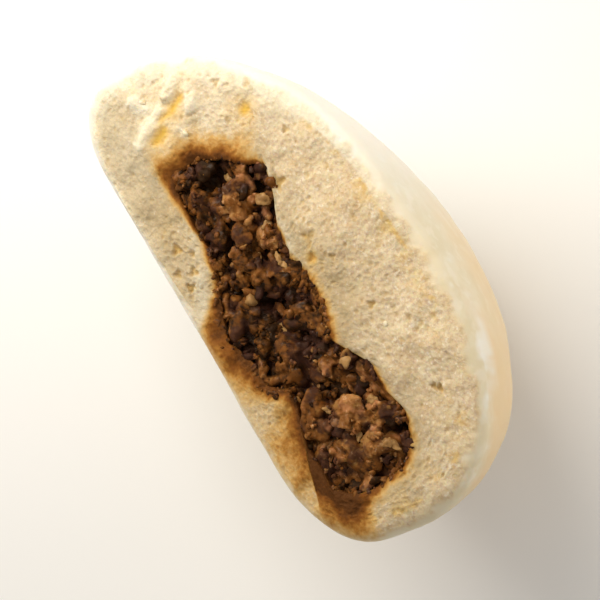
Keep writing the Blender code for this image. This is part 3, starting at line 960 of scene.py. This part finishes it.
def build_dough(settings):
    """The half bun: cavity, cut face, rim and skin as one closed piece."""
    dough = settings.bun_dough
    turns = even_turns(dough.segments, dough)
    count = len(turns)
    side = np.column_stack((np.cos(turns), np.sin(turns)))
    centre = BUN_CENTRE[:2]
    inner = filling_reach(turns)
    rim = rim_reach(turns, dough)
    cut = dough.cut_offset
    brim = cut - settings.bun_filling.sink - 0.2
    outline = on_cut(*(side * inner[:, None]).T)
    mouth = inner + 0.1 + 0.8 * layered_wave(outline, 2.6, 4, 31)
    mouth = np.maximum(mouth, inner - 0.4)
    rings = []
    masks = {key: [] for key in MASKS}

    def ring(points, values):
        rings.append(points)
        for key in MASKS:
            masks[key].append(np.broadcast_to(values.get(key, 0.0), count).astype(float))

    def level_ring(reach, z, values):
        flat = centre + side * reach[:, None]
        ring(np.column_stack((flat, np.broadcast_to(z, count))), values)

    soaked = {"crumb": 1.0, "juice": FULL_JUICE}
    for step in range(FLOOR_RINGS):
        reach = inner * math.sin(0.5 * math.pi * step / FLOOR_RINGS)
        flat = centre + side * reach[:, None]
        depth = filling_floor(flat[:, 0], flat[:, 1]) + 0.45
        level_ring(reach, brim - depth, soaked)
    level_ring(inner + WALL_ROOM, brim, soaked)

    def relief_and_masks(reach):
        flat = centre + side * reach[:, None]
        x, y = flat.T
        lift, values = crumb_height(x, y, dough)
        stained = soak_masks(x, y, (reach - mouth) * RAY_SLANT)
        stained["pale_and_lit"] = np.maximum(stained["pale_and_lit"], values.pop("pale_and_lit"))
        return lift, {"crumb": 1.0, **values, **stained}

    base_wall = base_wall_at(turns)
    edge_lift, edge_values = relief_and_masks(mouth)
    lip_top = cut + edge_lift - lip_drop(0.0, base_wall)
    for step in range(1, WALL_RINGS + 1):
        share = step / (WALL_RINGS + 1)
        rise = math.sin(0.5 * math.pi * share)
        z = brim + (lip_top - brim) * rise
        reach = inner + WALL_ROOM + (mouth - inner - WALL_ROOM) * share ** 2
        juice = 1.2 + (edge_values["juice"] - 1.2) * share
        level_ring(reach - 0.2 * (1.0 - share), z, {**edge_values, "juice": juice})

    face_end = rim - dough.rim_round
    strip = np.maximum(face_end - mouth, 0.5)
    upper_end = ease(centre[0] + side[:, 0] * rim, 12.0, 40.0)
    # painted light: the skin is whiter toward the upper end
    lit_upper_skin = ease(centre[0] + side[:, 0] * rim, -16.0, 24.0)
    for step in range(FACE_RINGS + 1):
        reach = mouth + strip * step / FACE_RINGS
        lift, values = relief_and_masks(reach)
        # painted light: the crumb is paler along the rim toward the upper end
        rim_painted_light = upper_end * np.exp(-(face_end - reach) / 2.6)
        values["pale_and_lit"] = np.maximum(values["pale_and_lit"], rim_painted_light)
        spot = on_cut(*(centre + side * reach[:, None]).T)
        olive = 0.55 * ease(layered_wave(spot, 2.8, 3, 77), -0.05, 0.45)
        olive = olive * np.exp(-(face_end - reach) / 2.6) * (side[:, 1] < 0.3)
        values["amber"] = np.maximum(values["amber"], olive * (1.0 - 0.7 * upper_end))
        level_ring(reach, cut + lift - lip_drop(reach - mouth, base_wall), values)

    depth = cut - BUN_CENTRE[2]
    rim_start = np.arctan2(face_end, depth)
    rim_end = np.arctan2(rim, depth - dough.rim_round)
    for step in range(1, RIM_RINGS + BACK_RINGS + 1):
        if step <= RIM_RINGS:
            tilt = rim_start + (rim_end - rim_start) * step / RIM_RINGS
        else:
            tilt = rim_end + (math.pi - rim_end) * (step - RIM_RINGS) / BACK_RINGS
        ways = np.column_stack((side * np.sin(tilt)[:, None], np.cos(tilt)))
        reach = push_out(ways, BUN_CENTRE, lambda p: half_field(p, dough) > 0.0)
        points = BUN_CENTRE + ways * reach[:, None]
        x, y, z = points.T
        share = step / RIM_RINGS
        rag = layered_wave(points, 3.4, 3, 71)
        face = np.clip(1.0 - ease(share + 0.35 * rag, 0.12, 0.42), 0.0, 1.0)
        lift, values = crumb_height(x, y, dough)
        skin = SKIN_WAVE[0] * wave(points, SKIN_WAVE[1], 41) + 0.30 * wave(points, 9.0, 43)
        skin = skin + 0.14 * layered_wave(points, 3.6, 2, 47)
        points = points + ways * (skin * min(1.0, share))[:, None]
        points[:, 2] += lift * max(0.0, 1.0 - share / 0.6)
        beyond = np.hypot(x - centre[0], y - centre[1]) - mouth
        stained = soak_masks(x, y, beyond * RAY_SLANT)
        near_face = max(0.0, 1.0 - share / 1.3)
        far_skin = 0.75 * ease(-z + 3.0 * rag, 7.0, 20.0) * (1.0 - ease(x, -20.0, 25.0))
        low_skin = 0.95 * ease(-z + 3.0 * rag, 1.0, 7.0) * (1.0 - ease(x, -38.0, -16.0))
        border = 0.7 * face * (1.0 - face) * (1.0 - ease(x, 0.0, 22.0))
        milky = ease(layered_wave(points, 5.0, 3, 75), 0.05, 0.45) * ease(share, 0.4, 0.8)
        milky = milky * (1.0 - ease(-z, 5.0, 11.0))
        ring(points, {
            "crumb": face,
            "juice": stained["juice"] * near_face,
            "shade_and_damp": stained["shade_and_damp"] * near_face,
            "hollow": values["hollow"] * near_face,
            # painted light on the upper skin, with milky patches
            "pale_and_lit": np.maximum(lit_upper_skin, milky),
            "amber": np.maximum(np.maximum(far_skin, low_skin), border),
        })

    fresh_start("steamed_dough")
    attributes = {key: np.array(values) for key, values in masks.items()}
    piece = ring_mesh("steamed_dough", np.array(rings), attributes)
    piece.data.materials.append(dough_material(dough))
    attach(piece, "root")
    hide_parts("bun_dough")


def filling_top(x, y, filling, dough):
    """Height of the filling's own surface between the clumps."""
    flat = on_cut(x, y)
    hollows = pits_at(x, y, FILLING_HOLLOWS, 0.2)
    slow = 0.6 * wave(flat, 6.0, 81)
    warp = on_cut(wave(flat, 2.2, 82), wave(flat, 2.2, 84))
    blocks, crease, value = tilted_blocks(flat + 0.6 * warp, 3.0, 83)
    small, small_crease, small_value = tilted_blocks(flat + 0.3 * warp, 1.3, 85)
    relief = slow + 1.05 * blocks + 0.42 * small + 0.1 * layered_wave(flat, 0.8, 2, 87)
    height = dough.cut_offset - filling.sink - 0.1 + relief - hollows
    # painted shade: darker in the hollows, on low places and in the creases
    deep = 0.28 + hollows * 0.28 - relief * 0.22 + 0.25 * crease + 0.15 * small_crease
    tone = 0.25 + 0.4 * value + 0.15 * small_value + tone_shift(x, y)
    return height, np.clip(deep, 0.0, 1.0), tone


def build_core(settings):
    """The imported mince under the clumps, as deep as the filling runs."""
    dough, filling = settings.bun_dough, settings.bun_filling
    turns = even_turns(CORE_SEGMENTS, dough)
    side = np.column_stack((np.cos(turns), np.sin(turns)))
    centre = BUN_CENTRE[:2]
    inner = filling_reach(turns)
    rings, painted_shades, tones = [], [], []
    for step in range(CORE_TOP_RINGS + 1):
        share = step / CORE_TOP_RINGS
        spread = EDGE_SPREAD * max(0.0, share - 0.8) / 0.2
        flat = centre + side * (inner * share + spread)[:, None]
        height, deep, tone = filling_top(flat[:, 0], flat[:, 1], filling, dough)
        edge = 0.35 * ease(np.full(len(turns), share), 0.9, 1.0)
        rings.append(np.column_stack((flat, height - edge)))
        painted_shades.append(deep)
        tones.append(tone)
    last = rings[-1][:, 2]
    for step in range(1, CORE_SIDE_RINGS + 1):
        share = math.cos(0.5 * math.pi * step / CORE_SIDE_RINGS)
        flat = centre + side * (inner * share)[:, None]
        top = dough.cut_offset - filling.sink
        depth = filling_floor(flat[:, 0], flat[:, 1])
        height = np.minimum(top - depth, last - 0.1)
        rings.append(np.column_stack((flat, height)))
        # the core's sides get an even painted shade
        painted_shades.append(np.full(len(turns), 0.8))
        tones.append(np.full(len(turns), 0.3))
    fresh_start("beef_core")
    attributes = {"deep": np.array(painted_shades), "tone": np.array(tones)}
    piece = ring_mesh("beef_core", np.array(rings), attributes)
    piece.data.materials.append(beef_material("beef_core", filling))
    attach(piece, "root")
    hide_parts("beef_filling")


def chunk_points(unit, size, chance):
    """Shape one chunk from a unit sphere's points: broken faces, creases and a rough skin."""
    normals = chance.normal(size=(FACETS, 3))
    normals /= np.linalg.norm(normals, axis=1)[:, None]
    reach = chance.uniform(0.58, 1.0, FACETS)
    push = np.maximum(unit @ normals.T / reach, 0.0)
    power = FACET_EDGE
    radius = (np.sum(push ** power, axis=1) + ROUND_PART ** power) ** (-1.0 / power)
    points = unit * radius[:, None] * 0.5 * size
    length = float(size[0])
    spread = points + chance.uniform(0.0, 400.0, 3)
    bend = 0.12 * length * wave(spread, 0.55 * length, 95)
    lumps, crease, value = tilted_blocks(spread, min(2.3, 0.5 * length), 91)
    fine, fine_crease, _ = tilted_blocks(spread, 0.9, 93)
    strength = min(1.0, length / 5.0)
    out = bend + 0.55 * strength * lumps + 0.2 * fine + 0.12 * layered_wave(spread, 0.9, 2, 97)
    creases = np.clip(crease * strength + 0.25 * fine_crease, 0.0, 1.0)
    return points + unit * out[:, None], value, creases


def chunk_level(length):
    """How finely a chunk's sphere is divided."""
    if length < 2.0:
        return 2
    if length < 3.6:
        return 3
    return 4 if length < 7.5 else 5


def scatter(name, plan, seed):
    """Many chunks as one piece: each is shaped, turned, placed and given its tone."""
    chance = np.random.default_rng(seed)
    shape = bmesh.new()
    spheres = {}
    places, tones, painted_shades = [], [], []
    for x, y, top, length, width, height, tone, spin in plan:
        level = chunk_level(length)
        first = len(shape.verts)
        bmesh.ops.create_icosphere(shape, subdivisions=level, radius=1.0)
        if level not in spheres:
            shape.verts.ensure_lookup_table()
            spheres[level] = np.array([vertex.co[:] for vertex in shape.verts[first:]])
        size = np.array((length, width, height))
        points, value, crease = chunk_points(spheres[level], size, chance)
        lean = Matrix.Rotation(chance.uniform(-0.35, 0.35), 3, "X")
        points = points @ np.array(Matrix.Rotation(spin, 3, "Z") @ lean).T
        peak = points[:, 2].max()
        low = (peak - points[:, 2]) / max(height, 0.5)
        places.append(points + np.array((x, y, top - peak)))
        tones.append(tone + 0.3 * (value - 0.5))
        # painted shade: each chunk darker lower down and in its creases
        painted_shades.append(np.clip(0.85 * low + 0.36 * crease - 0.12, 0.0, 1.0))
    mesh = bpy.data.meshes.new(name)
    shape.to_mesh(mesh)
    shape.free()
    placed = lay_down(np.concatenate(places))
    mesh.vertices.foreach_set("co", placed.astype(np.float32).ravel())
    for key, values in (("tone", tones), ("deep", painted_shades)):
        layer = mesh.attributes.new(key, "FLOAT", "POINT")
        layer.data.foreach_set("value", np.concatenate(values).astype(np.float32))
    mesh.update()
    return finish_piece(name, mesh)


def fuse(piece):
    """Grow a piece's chunks together into one soft skin, each place keeping its tone and painted
    shade.
    """
    source = piece.data
    tree = kdtree.KDTree(len(source.vertices))
    for index, vertex in enumerate(source.vertices):
        tree.insert(vertex.co, index)
    tree.balance()
    remesh = piece.modifiers.new("fuse", "REMESH")
    remesh.mode = "VOXEL"
    remesh.voxel_size = FUSE_GRAIN
    ready = piece.evaluated_get(bpy.context.evaluated_depsgraph_get())
    mesh = bpy.data.meshes.new_from_object(ready)
    piece.modifiers.clear()
    shape = bmesh.new()
    shape.from_mesh(mesh)
    bmesh.ops.smooth_vert(
        shape, verts=shape.verts, factor=0.5, use_axis_x=True, use_axis_y=True, use_axis_z=True
    )
    shape.to_mesh(mesh)
    shape.free()
    nearest = np.array([tree.find(vertex.co)[1] for vertex in mesh.vertices])
    for key in ("tone", "deep"):
        values = np.empty(len(source.vertices), dtype=np.float32)
        source.attributes[key].data.foreach_get("value", values)
        layer = mesh.attributes.get(key) or mesh.attributes.new(key, "FLOAT", "POINT")
        layer.data.foreach_set("value", values[nearest])
    mesh.shade_smooth()
    mesh.name = piece.name
    piece.data = mesh


def surface_under(x, y, plan, filling, dough):
    """Height of the mince at each place, its clumps included."""
    height, _, _ = filling_top(x, y, filling, dough)
    for item in plan:
        away = np.hypot(x - item[0], y - item[1]) / (0.47 * (item[3] + item[4]) * 0.5)
        bulge = item[2] - 0.5 * item[5] * (1.0 - np.sqrt(np.maximum(1.0 - away * away, 0.0)))
        height = np.where(away < 1.0, np.maximum(height, bulge), height)
    return height


def tone_shift(x, y):
    """How much paler or darker the mince is, from place to place."""
    pale_end = 0.10 * (1.0 - ease(x, -26.0, -14.0))
    middle = 0.20 * ease(x, -19.0, -13.0) * (1.0 - ease(x, 2.0, 8.0))
    # painted shade: darker toward the top end, where the filling sinks under the cut face, and in
    # the hollows
    top_end = 0.20 * ease(x, 8.0, 16.0)
    return pale_end - middle - top_end - 0.22 * pits_at(x, y, FILLING_HOLLOWS, 0.2)


def large_plan(settings):
    """The large clumps' places."""
    dough, filling = settings.bun_dough, settings.bun_filling
    chance = np.random.default_rng(filling.seed)
    plan = []
    for x, height, length, width, tone, top in LARGE_CLUMPS:
        spin = chance.uniform(0.0, math.pi)
        level = dough.cut_offset + top - 0.2
        plan.append((x, -height, level, length, width, 0.8 * width, tone, spin))
    return plan


def medium_plan(settings, large):
    """Chunks on the large clumps, between them and along the filling's edge."""
    dough, filling = settings.bun_dough, settings.bun_filling
    chance = np.random.default_rng(filling.seed + 3)
    low, high = filling.medium_size
    places = np.zeros((0, 3))
    tones = []
    for _ in range(CLUMP_TRIES):
        x = FILLING_MIDDLE + FILLING_HALF_LENGTH * chance.uniform(-1.0, 1.0)
        y = -chance.uniform(5.0, 34.0)
        size = low + (high - low) * chance.uniform(0.0, 1.0) ** 1.4
        tone = chance.uniform(-0.05, 1.15)
        apart = np.hypot(places[:, 0] - x, places[:, 1] - y)
        if len(places) and np.any(apart < 0.31 * (places[:, 2] + size)):
            continue
        places = np.vstack((places, (x, y, size)))
        tones.append(tone)
        if len(places) >= 2 * filling.medium_count:
            break
    share = filling_share(places[:, 0], places[:, 1])
    kept = share < 1.0 - 0.035 * places[:, 2]
    places = places[kept][: filling.medium_count]
    tones = np.array(tones)[kept][: filling.medium_count]
    for item in large:
        away = np.hypot(places[:, 0] - item[0], places[:, 1] - item[1])
        own = away < 0.4 * item[4]
        tones = np.where(own, 0.55 * item[6] + 0.45 * tones + 0.06, tones)
    ground = surface_under(places[:, 0], places[:, 1], large, filling, dough)
    tones = tones + tone_shift(places[:, 0], places[:, 1])
    plan = []
    for (x, y, size), tone, level in zip(places, tones, ground):
        width = size * chance.uniform(0.55, 1.0)
        deep = 0.8 * width
        top = min(level + deep * chance.uniform(0.06, 0.36), dough.cut_offset + 2.4)
        plan.append((x, y, top, size, width, deep, tone, chance.uniform(0.0, math.pi)))
    return plan + edge_plan(dough, chance)


def edge_plan(dough, chance):
    """Chunks pressed against the dough all around the filling."""
    turns = even_turns(EDGE_CHUNKS, dough)
    turns = turns + chance.uniform(-0.02, 0.02, len(turns))
    reach = filling_reach(turns)
    plan = []
    for turn, far in zip(turns, reach):
        if chance.uniform() < 0.2:
            continue
        size = chance.uniform(1.7, 4.4)
        inward = far - 0.26 * size + chance.uniform(-0.4, 0.5)
        x = BUN_CENTRE[0] + inward * math.cos(turn)
        y = BUN_CENTRE[1] + inward * math.sin(turn)
        base_side = max(0.0, math.sin(turn))
        top = dough.cut_offset + chance.uniform(-1.3, 0.5) - 0.7 * base_side
        width = size * chance.uniform(0.6, 0.95)
        tone = chance.uniform(0.15, 0.65)
        plan.append((x, y, top, size, width, 0.8 * width, tone, chance.uniform(0.0, math.pi)))
    return plan


def add_filling_piece(settings, name, plan, material, seed, fused=False):
    """Make one piece of the filling and hang it on the part."""
    fresh_start(name)
    piece = scatter(name, plan, settings.bun_filling.seed + seed)
    if fused:
        fuse(piece)
    piece.data.materials.append(material)
    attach(piece, "root")
    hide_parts("beef_filling")


def build_clumps(settings):
    """The mince's large clumps and the chunks on and between them."""
    filling = settings.bun_filling
    large = large_plan(settings)
    medium = medium_plan(settings, large)
    loose = medium[::3]
    packed = large + [item for index, item in enumerate(medium) if index % 3]
    material = beef_material("beef_clumps", filling)
    add_filling_piece(settings, "beef_clumps", packed, material, 2, fused=True)
    add_filling_piece(settings, "beef_bits", loose, beef_material("beef_bits", filling), 3)


def build_grains(settings):
    """Small grains of mince between and on the clumps."""
    dough, filling = settings.bun_dough, settings.bun_filling
    chance = np.random.default_rng(filling.seed + 5)
    large = large_plan(settings)
    clumps = large + medium_plan(settings, large)
    low, high = filling.grain_size
    count = 2 * filling.grain_count
    x = FILLING_MIDDLE + 1.01 * FILLING_HALF_LENGTH * chance.uniform(-1.0, 1.0, count)
    y = -chance.uniform(5.0, 34.5, count)
    inside = filling_share(x, y) < 1.06
    x, y = x[inside][: filling.grain_count], y[inside][: filling.grain_count]
    size = low + (high - low) * chance.uniform(0.0, 1.0, len(x)) ** 1.6
    ground = surface_under(x, y, clumps, filling, dough)
    plan = []
    for place_x, place_y, length, level, shift in zip(x, y, size, ground, tone_shift(x, y)):
        width = length * chance.uniform(0.6, 1.0)
        top = min(level + chance.uniform(0.1, 0.4) * width, dough.cut_offset + 2.6)
        tone = chance.uniform(0.2, 0.85) + shift
        spin = chance.uniform(0.0, math.pi)
        plan.append((place_x, place_y, top, length, width, 0.8 * width, tone, spin))
    plan += lip_plan(dough, chance)
    add_filling_piece(settings, "beef_grains", plan, beef_material("beef_grains", filling), 7)


def lip_plan(dough, chance):
    """Grains pressed into the soaked dough around the filling."""
    turns = even_turns(LIP_GRAINS, dough)
    turns = turns + chance.uniform(-0.03, 0.03, len(turns))
    base_wall = base_wall_at(turns)
    outward = chance.uniform(0.0, 1.0, len(turns)) ** 1.5 * (0.6 + 1.5 * base_wall)
    reach = filling_reach(turns) + outward
    x = BUN_CENTRE[0] + reach * np.cos(turns)
    y = BUN_CENTRE[1] + reach * np.sin(turns)
    lift, _ = crumb_height(x, y, dough)
    ground = dough.cut_offset + lift - lip_drop(outward, base_wall)
    plan = []
    for place_x, place_y, height in zip(x, y, ground):
        length = chance.uniform(0.7, 1.9)
        width = length * chance.uniform(0.6, 0.95)
        tone = chance.uniform(0.15, 0.7)
        top = height + chance.uniform(0.1, 0.32) * width
        spin = chance.uniform(0.0, math.pi)
        plan.append((place_x, place_y, top, length, width, 0.8 * width, tone, spin))
    return plan


def build_onion(settings):
    """Soft onion pieces in the mince."""
    dough, filling = settings.bun_dough, settings.bun_filling
    large = large_plan(settings)
    clumps = large + medium_plan(settings, large)
    bits = np.array(ONION_BITS)
    ground = surface_under(bits[:, 0], -bits[:, 1], clumps, filling, dough)
    plan = []
    for (x, height, length, width, spin, pale), level in zip(ONION_BITS, ground):
        plan.append((x, -height, level + 0.7, length, width, 0.7 * width, pale, spin))
    add_filling_piece(settings, "onion_bits", plan, onion_material(filling), 11)


def build_shreds(settings):
    """Loose shreds of dough on the cut face."""
    dough = settings.bun_dough
    bits = np.array(DOUGH_SHREDS)
    lift, _ = crumb_height(bits[:, 0], -bits[:, 1], dough)
    plan = []
    for (x, height, length, width, spin), rise in zip(DOUGH_SHREDS, lift):
        top = dough.cut_offset + rise + 0.15 + 0.22 * width
        plan.append((x, -height, top, length, width, 0.6 * width, 0.5, spin))
    fresh_start("dough_shreds")
    piece = scatter("dough_shreds", plan, settings.bun_filling.seed + 13)
    piece.data.materials.append(shred_material(dough))
    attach(piece, "root")
    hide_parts("bun_dough")


def add_light(name, power, size, place, target):
    """A soft square light aimed at a place."""
    lamp = bpy.data.lights.new(name, "AREA")
    lamp.energy = power
    lamp.size = size
    lamp_object = bpy.data.objects.new(name, lamp)
    lamp_object.location = place
    lamp_object.rotation_euler = (place - target).to_track_quat("Z", "Y").to_euler()
    bpy.context.scene.collection.objects.link(lamp_object)
    return lamp


FLOOR_SHADE = (0.8, 0.78, 0.75, 1.0)
SKY_COLOUR = (1.0, 0.97, 0.93, 1.0)
KEY_COLOUR = (1.0, 0.95, 0.86)
SIDE_COLOUR = (1.0, 0.97, 0.92)


def build_stage(settings):
    """A plain pale floor, soft light and the camera."""
    stage = settings.bun_stage
    target = Vector(lay_down(np.array([LOOK_AT]))[0])

    mesh_data = bmesh.new()
    bmesh.ops.create_grid(mesh_data, x_segments=1, y_segments=1, size=3.0)
    mesh = bpy.data.meshes.new("floor")
    mesh_data.to_mesh(mesh)
    mesh_data.free()
    floor = bpy.data.objects.new("floor", mesh)
    bpy.context.scene.collection.objects.link(floor)
    shade = Shade("floor")
    pale = tuple(stage.floor_colour)
    faint = shade.noise(40.0, 2.0)
    colour = shade.blend(faint * 0.06, pale, FLOOR_SHADE)
    mesh.materials.append(shade.set(Base_Color=colour, Roughness=0.7))

    world = bpy.context.scene.world or bpy.data.worlds.new("studio")
    bpy.context.scene.world = world
    world.use_nodes = True
    sky = world.node_tree.nodes["Background"]
    sky.inputs["Color"].default_value = SKY_COLOUR
    sky.inputs["Strength"].default_value = stage.sky

    key_way = (-0.60 * CAMERA_RIGHT + 0.60 * CAMERA_UP + 0.53 * CAMERA_BACK).normalized()
    side_way = (0.85 * CAMERA_RIGHT + 0.35 * CAMERA_UP + 0.40 * CAMERA_BACK).normalized()
    key = add_light("key", stage.key_power, 0.28, target + key_way * 0.30, target)
    key.color = KEY_COLOUR
    side = add_light("side", stage.fill_power, 0.35, target + side_way * 0.45, target)
    side.color = SIDE_COLOUR

    lens = bpy.data.cameras.new("camera")
    lens.lens = stage.lens
    lens.sensor_width = 36.0
    lens.clip_start = 0.01
    camera = bpy.data.objects.new("camera", lens)
    aim = target + (CAMERA_RIGHT * stage.aim_right + CAMERA_UP * stage.aim_up) * 0.001
    axes = Matrix((CAMERA_RIGHT, CAMERA_UP, CAMERA_BACK)).transposed().to_4x4()
    camera.matrix_world = Matrix.Translation(aim + CAMERA_BACK * stage.distance) @ axes
    bpy.context.scene.collection.objects.link(camera)
    bpy.context.scene.camera = camera
    bpy.context.scene.view_settings.view_transform = "Standard"


# ---------------------------------------------------------------- operators and panel


class BUN_OT_dough(bpy.types.Operator):
    """Build the steamed dough"""

    bl_idname = "bun.dough"
    bl_label = "Dough"

    def execute(self, context):
        build_dough(context.scene)
        return {"FINISHED"}


class BUN_OT_core(bpy.types.Operator):
    """Build the filling's core"""

    bl_idname = "bun.core"
    bl_label = "Filling core"

    def execute(self, context):
        build_core(context.scene)
        return {"FINISHED"}


class BUN_OT_clumps(bpy.types.Operator):
    """Build the mince's clumps"""

    bl_idname = "bun.clumps"
    bl_label = "Mince clumps"

    def execute(self, context):
        build_clumps(context.scene)
        return {"FINISHED"}


class BUN_OT_grains(bpy.types.Operator):
    """Build the mince's small grains"""

    bl_idname = "bun.grains"
    bl_label = "Mince grains"

    def execute(self, context):
        build_grains(context.scene)
        return {"FINISHED"}


class BUN_OT_onion(bpy.types.Operator):
    """Build the onion pieces"""

    bl_idname = "bun.onion"
    bl_label = "Onion pieces"

    def execute(self, context):
        build_onion(context.scene)
        return {"FINISHED"}


class BUN_OT_shreds(bpy.types.Operator):
    """Build the loose shreds of dough"""

    bl_idname = "bun.shreds"
    bl_label = "Dough shreds"

    def execute(self, context):
        build_shreds(context.scene)
        return {"FINISHED"}


class BUN_OT_stage(bpy.types.Operator):
    """Build the floor, the lights and the camera"""

    bl_idname = "bun.stage"
    bl_label = "Stage"

    def execute(self, context):
        build_stage(context.scene)
        return {"FINISHED"}


OPERATORS = (
    BUN_OT_dough,
    BUN_OT_core,
    BUN_OT_clumps,
    BUN_OT_grains,
    BUN_OT_onion,
    BUN_OT_shreds,
    BUN_OT_stage,
)


class BUN_PT_panel(bpy.types.Panel):
    """Sizes, colours and builders of the steamed beef bun"""

    bl_idname = "BUN_PT_panel"
    bl_label = "Steamed beef bun"
    bl_space_type = "VIEW_3D"
    bl_region_type = "UI"
    bl_category = "Bun"

    def draw(self, context):
        for operator in OPERATORS:
            self.layout.operator(operator.bl_idname)
        for group in (context.scene.bun_dough, context.scene.bun_filling, context.scene.bun_stage):
            box = self.layout.box()
            for key in group.__annotations__:
                box.prop(group, key)


CLASSES = (DoughSettings, FillingSettings, StageSettings, *OPERATORS, BUN_PT_panel)


def register():
    for item in CLASSES:
        bpy.utils.register_class(item)
    bpy.types.Scene.bun_dough = PointerProperty(type=DoughSettings)
    bpy.types.Scene.bun_filling = PointerProperty(type=FillingSettings)
    bpy.types.Scene.bun_stage = PointerProperty(type=StageSettings)


def unregister():
    del bpy.types.Scene.bun_stage
    del bpy.types.Scene.bun_filling
    del bpy.types.Scene.bun_dough
    for item in reversed(CLASSES):
        bpy.utils.unregister_class(item)


def main():
    register()
    bpy.ops.bun.dough()
    bpy.ops.bun.core()
    bpy.ops.bun.clumps()
    bpy.ops.bun.grains()
    bpy.ops.bun.onion()
    bpy.ops.bun.shreds()
    bpy.ops.bun.stage()


if __name__ == "__main__":
    main()
